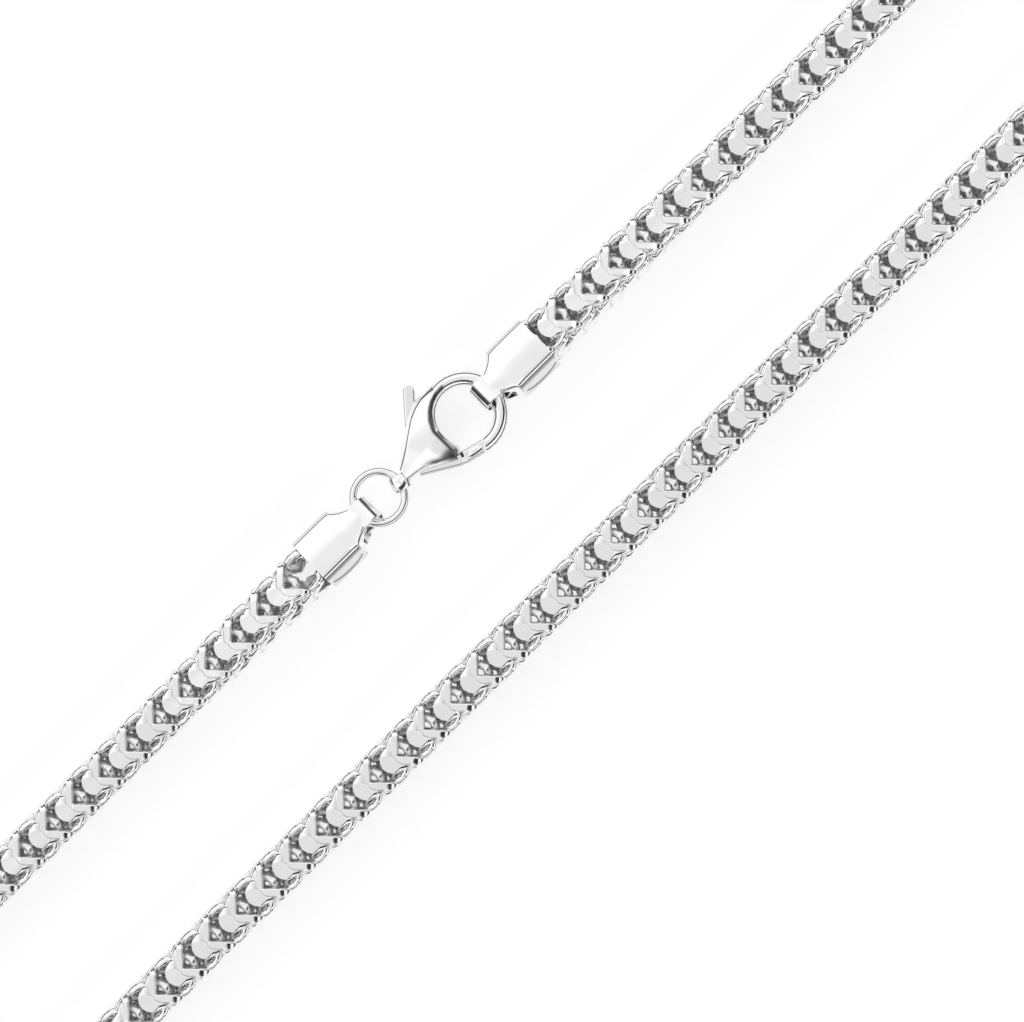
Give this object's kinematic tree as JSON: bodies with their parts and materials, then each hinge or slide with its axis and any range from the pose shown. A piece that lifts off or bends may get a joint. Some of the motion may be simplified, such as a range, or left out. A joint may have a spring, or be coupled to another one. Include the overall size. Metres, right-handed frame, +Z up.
{
  "type": "franco chain necklace",
  "caption": "Silver square franco chain necklace laid out as a long narrow loop, with square end caps, a jump ring and a trigger clasp.",
  "frame": {"origin": "middle of the loop's outline, on the table that it lies on", "axes": "+X along the two straight runs, +Y towards the run that holds the clasp, +Z up from the table"},
  "size_m": [0.2426, 0.0284, 0.005],
  "materials": {
    "chain_silver": "polished diamond-cut silver links",
    "polished_silver": "high polish",
    "pin_silver": "satin"
  },
  "bodies": {
    "root": {"chain": "chain_silver", "end_cap_upper": "polished_silver", "end_cap_lower": "polished_silver", "jump_ring": "polished_silver", "clasp_body": "polished_silver", "clasp_pin": "pin_silver"},
    "lever": {"clasp_lever": "polished_silver"}
  },
  "joints": [
    {"name": "clasp_lever_hinge", "type": "hinge", "parent": "root", "child": "lever", "pos_m": [-0.00147, 0.00823, 0.00232], "axis": [0, 0, 1], "range_deg": [0, 16], "stiffness_Nm_per_rad": 0.01, "springref_deg": -28.65}
  ]
}
